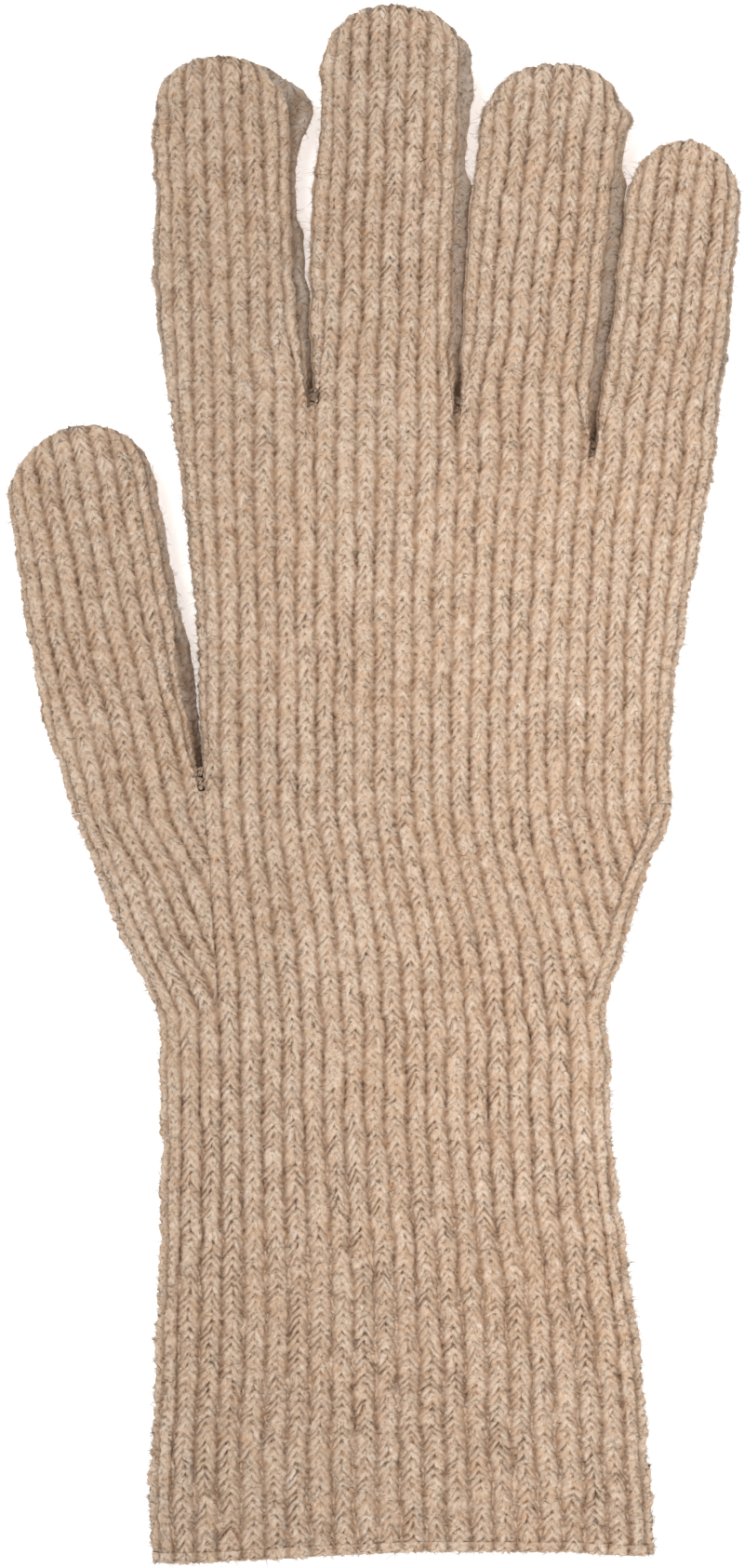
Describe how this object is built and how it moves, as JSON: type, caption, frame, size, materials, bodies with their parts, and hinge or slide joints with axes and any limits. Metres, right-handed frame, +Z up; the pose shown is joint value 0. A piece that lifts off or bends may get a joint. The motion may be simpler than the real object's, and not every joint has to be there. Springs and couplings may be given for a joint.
{
  "type": "knitted glove",
  "caption": "Hollow rib-knitted glove with a long cuff, laid flat palm up; its wrist, fingers and thumb fold towards the palm.",
  "frame": {"origin": "middle of the footprint, on the surface the glove lies on", "axes": "+Y from the hem to the fingertips, +X from the thumb side to the little-finger side, +Z up out of the palm side"},
  "size_m": [0.1355, 0.2866, 0.011],
  "materials": {
    "bind_off": "matte brushed wool, bound-off edge",
    "cuff_rib": "matte brushed wool, one-by-one rib knit",
    "palm_rib": "matte brushed wool, one-by-one rib knit",
    "finger_rib": "matte brushed wool, one-by-one rib knit",
    "thumb_rib": "matte brushed wool, one-by-one rib knit",
    "soft_sleeve": "the same rib knit where the glove folds",
    "darning_yarn": "matte wool yarn, sewn"
  },
  "bodies": {
    "cuff": {"hem_bind_off": "bind_off", "cuff_tube": "cuff_rib", "wrist_sleeve": "soft_sleeve"},
    "hand": {"lower_palm": "palm_rib", "main_palm": "palm_rib", "upper_palm": "palm_rib", "index_root_sleeve": "soft_sleeve", "middle_root_sleeve": "soft_sleeve", "ring_root_sleeve": "soft_sleeve", "little_root_sleeve": "soft_sleeve", "thumb_root_sleeve": "soft_sleeve", "index_middle_darn": "darning_yarn", "middle_ring_darn": "darning_yarn", "ring_little_darn": "darning_yarn", "thumb_darn": "darning_yarn"},
    "index_base": {"index_base_tube": "finger_rib", "index_knuckle_sleeve": "soft_sleeve"},
    "index_mid": {"index_mid_tube": "finger_rib", "index_end_sleeve": "soft_sleeve"},
    "index_end": {"index_tip": "finger_rib"},
    "middle_base": {"middle_base_tube": "finger_rib", "middle_knuckle_sleeve": "soft_sleeve"},
    "middle_mid": {"middle_mid_tube": "finger_rib", "middle_end_sleeve": "soft_sleeve"},
    "middle_end": {"middle_tip": "finger_rib"},
    "ring_base": {"ring_base_tube": "finger_rib", "ring_knuckle_sleeve": "soft_sleeve"},
    "ring_mid": {"ring_mid_tube": "finger_rib", "ring_end_sleeve": "soft_sleeve"},
    "ring_end": {"ring_tip": "finger_rib"},
    "little_base": {"little_base_tube": "finger_rib", "little_knuckle_sleeve": "soft_sleeve"},
    "little_mid": {"little_mid_tube": "finger_rib", "little_end_sleeve": "soft_sleeve"},
    "little_end": {"little_tip": "finger_rib"},
    "thumb_base": {"thumb_base_tube": "thumb_rib", "thumb_knuckle_sleeve": "soft_sleeve"},
    "thumb_end": {"thumb_tip": "thumb_rib"}
  },
  "joints": [
    {"name": "wrist_bend", "type": "hinge", "parent": "cuff", "child": "hand", "pos_m": [0, -0.042, 0.0055], "axis": [1, 0, 0], "range_deg": [0, 75], "deforming": ["wrist_sleeve"]},
    {"name": "index_root_bend", "type": "hinge", "parent": "hand", "child": "index_base", "pos_m": [-0.02472, 0.07368, 0.005], "axis": [1, 0, 0], "range_deg": [0, 80], "deforming": ["index_root_sleeve"]},
    {"name": "index_knuckle_bend", "type": "hinge", "parent": "index_base", "child": "index_mid", "pos_m": [-0.02536, 0.09418, 0.005], "axis": [1, 0, 0], "range_deg": [0, 80], "deforming": ["index_knuckle_sleeve"]},
    {"name": "index_end_bend", "type": "hinge", "parent": "index_mid", "child": "index_end", "pos_m": [-0.02595, 0.11318, 0.005], "axis": [1, 0, 0], "range_deg": [0, 52], "deforming": ["index_end_sleeve"]},
    {"name": "middle_root_bend", "type": "hinge", "parent": "hand", "child": "middle_base", "pos_m": [0.00204, 0.07237, 0.005], "axis": [1, 0, 0], "range_deg": [0, 80], "deforming": ["middle_root_sleeve"]},
    {"name": "middle_knuckle_bend", "type": "hinge", "parent": "middle_base", "child": "middle_mid", "pos_m": [0.00275, 0.09587, 0.005], "axis": [1, 0, 0], "range_deg": [0, 80], "deforming": ["middle_knuckle_sleeve"]},
    {"name": "middle_end_bend", "type": "hinge", "parent": "middle_mid", "child": "middle_end", "pos_m": [0.00343, 0.11787, 0.005], "axis": [1, 0, 0], "range_deg": [0, 52], "deforming": ["middle_end_sleeve"]},
    {"name": "ring_root_bend", "type": "hinge", "parent": "hand", "child": "ring_base", "pos_m": [0.02798, 0.07111, 0.005], "axis": [1, 0, 0], "range_deg": [0, 80], "deforming": ["ring_root_sleeve"]},
    {"name": "ring_knuckle_bend", "type": "hinge", "parent": "ring_base", "child": "ring_mid", "pos_m": [0.03002, 0.09261, 0.005], "axis": [1, 0, 0], "range_deg": [0, 80], "deforming": ["ring_knuckle_sleeve"]},
    {"name": "ring_end_bend", "type": "hinge", "parent": "ring_mid", "child": "ring_end", "pos_m": [0.03191, 0.11261, 0.005], "axis": [1, 0, 0], "range_deg": [0, 52], "deforming": ["ring_end_sleeve"]},
    {"name": "little_root_bend", "type": "hinge", "parent": "hand", "child": "little_base", "pos_m": [0.05204, 0.0637, 0.005], "axis": [1, 0, 0], "range_deg": [0, 80], "deforming": ["little_root_sleeve"]},
    {"name": "little_knuckle_bend", "type": "hinge", "parent": "little_base", "child": "little_mid", "pos_m": [0.05415, 0.0822, 0.005], "axis": [1, 0, 0], "range_deg": [0, 80], "deforming": ["little_knuckle_sleeve"]},
    {"name": "little_end_bend", "type": "hinge", "parent": "little_mid", "child": "little_end", "pos_m": [0.05615, 0.0997, 0.005], "axis": [1, 0, 0], "range_deg": [0, 52], "deforming": ["little_end_sleeve"]},
    {"name": "thumb_root_bend", "type": "hinge", "parent": "hand", "child": "thumb_base", "pos_m": [-0.04451, 0.00087, 0.00525], "axis": [0.9833, 0.1822, 0], "range_deg": [0, 65], "deforming": ["thumb_root_sleeve"]},
    {"name": "thumb_knuckle_bend", "type": "hinge", "parent": "thumb_base", "child": "thumb_end", "pos_m": [-0.05041, 0.03272, 0.00525], "axis": [0.9833, 0.1822, 0], "range_deg": [0, 75], "deforming": ["thumb_knuckle_sleeve"]}
  ],
  "couplings": [
    {"joint": "index_end_bend", "follows": "index_knuckle_bend", "ratio": 0.65},
    {"joint": "middle_end_bend", "follows": "middle_knuckle_bend", "ratio": 0.65},
    {"joint": "ring_end_bend", "follows": "ring_knuckle_bend", "ratio": 0.65},
    {"joint": "little_end_bend", "follows": "little_knuckle_bend", "ratio": 0.65}
  ]
}
